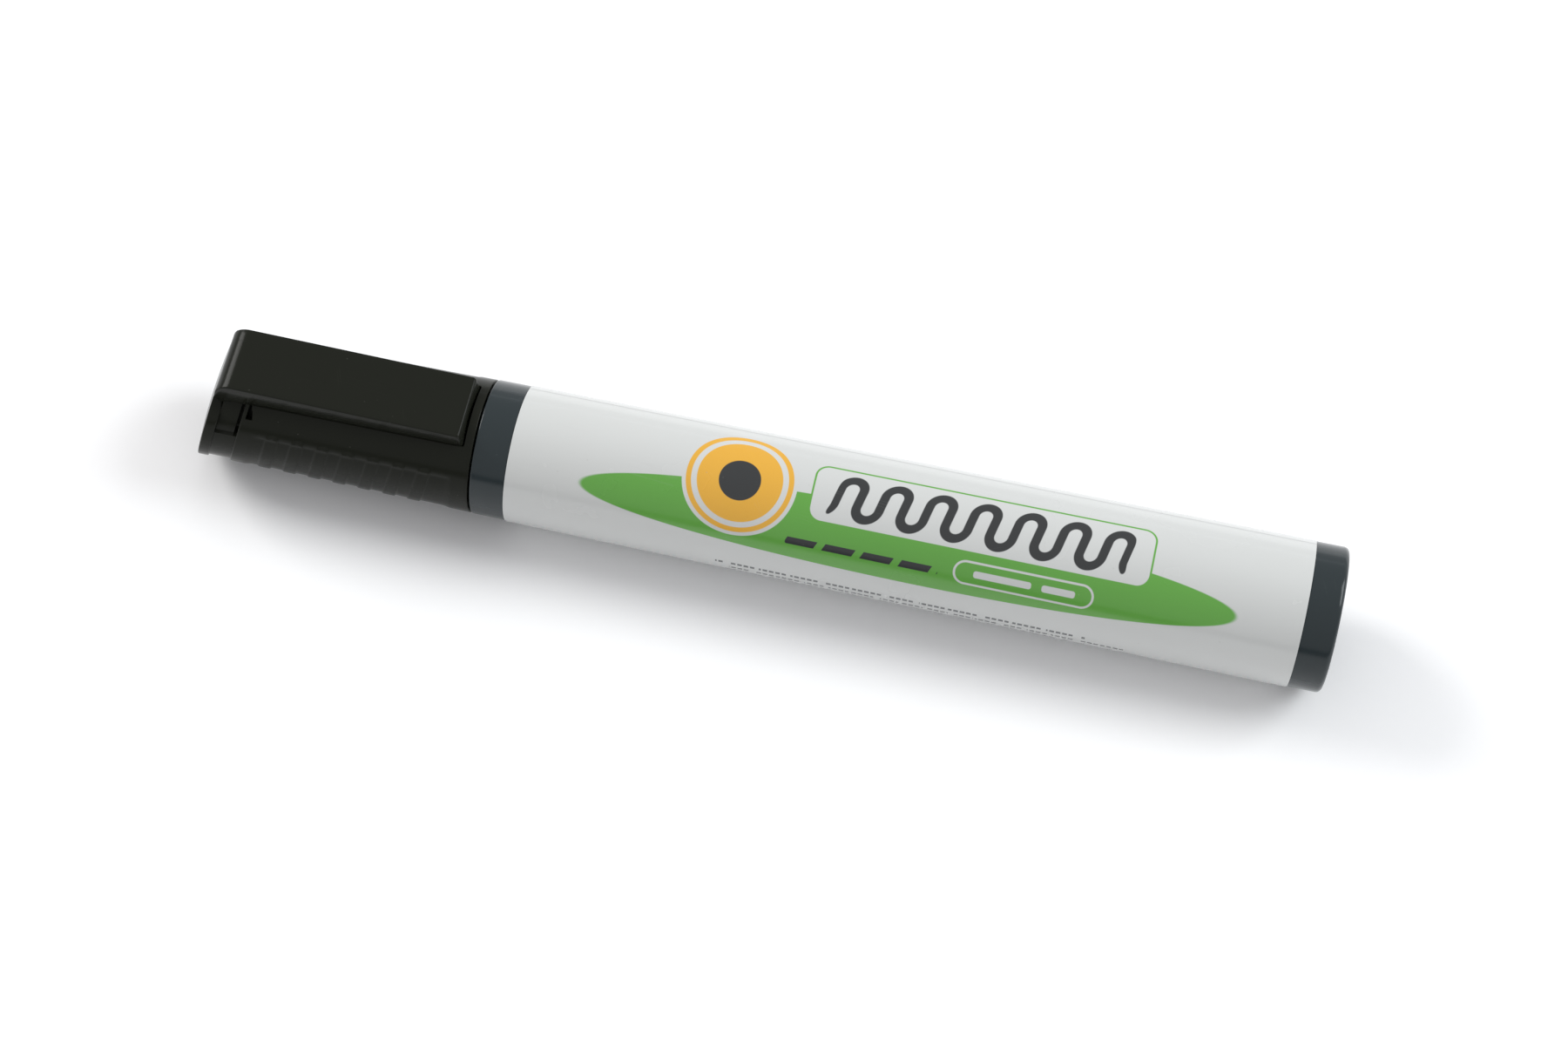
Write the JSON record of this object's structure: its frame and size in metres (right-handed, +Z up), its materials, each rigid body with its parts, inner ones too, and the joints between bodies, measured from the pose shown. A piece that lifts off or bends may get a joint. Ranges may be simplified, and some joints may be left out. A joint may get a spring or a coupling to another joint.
{
  "type": "felt tip marker",
  "caption": "Capped felt tip marker with a tapered round barrel, a wrap label, an ink core, a nib, and a pull-off cap with a pocket clip.",
  "frame": {"origin": "on the resting surface, under the middle of the marker's length, with the marker lying on its side", "axes": "+X along the marker from the cap to the tail, +Z up, with the pocket clip on top; +Y across"},
  "size_m": [0.133, 0.017, 0.0178],
  "materials": {
    "barrel_slate": "glossy moulded polypropylene, dark slate",
    "label_film": "glossy white printed film",
    "reservoir_fibre": "bundled polyester fibre soaked in black ink",
    "wrap_film": "thin milky film",
    "holder_black": "satin moulded plastic",
    "nib_felt": "pressed fibre, soaked in black ink",
    "inner_cap_natural": "undyed polyethylene",
    "cap_black": "satin-gloss moulded polypropylene, black"
  },
  "bodies": {
    "barrel_body": {"barrel": "barrel_slate", "label": "label_film", "rear_plug": "barrel_slate", "ink_reservoir": "reservoir_fibre", "reservoir_wrap": "wrap_film", "nib_holder": "holder_black", "nib": "nib_felt"},
    "inner_cap_body": {"inner_cap": "inner_cap_natural"},
    "cap_body": {"cap_shell": "cap_black"},
    "clip_body": {"pocket_clip": "cap_black"}
  },
  "joints": [
    {"name": "cap_pull", "type": "slide", "parent": "barrel_body", "child": "inner_cap_body", "axis": [-1, 0, 0], "range_m": [0, 0.032]},
    {"name": "cap_twist", "type": "hinge", "parent": "inner_cap_body", "child": "cap_body", "pos_m": [-0.05, 0, 0.00851], "axis": [1, 0, 0], "continuous": true},
    {"name": "clip_flex", "type": "hinge", "parent": "cap_body", "child": "clip_body", "pos_m": [-0.05939, 0, 0.01689], "axis": [0, -1, 0], "range_deg": [0, 5], "stiffness_Nm_per_rad": 1}
  ]
}
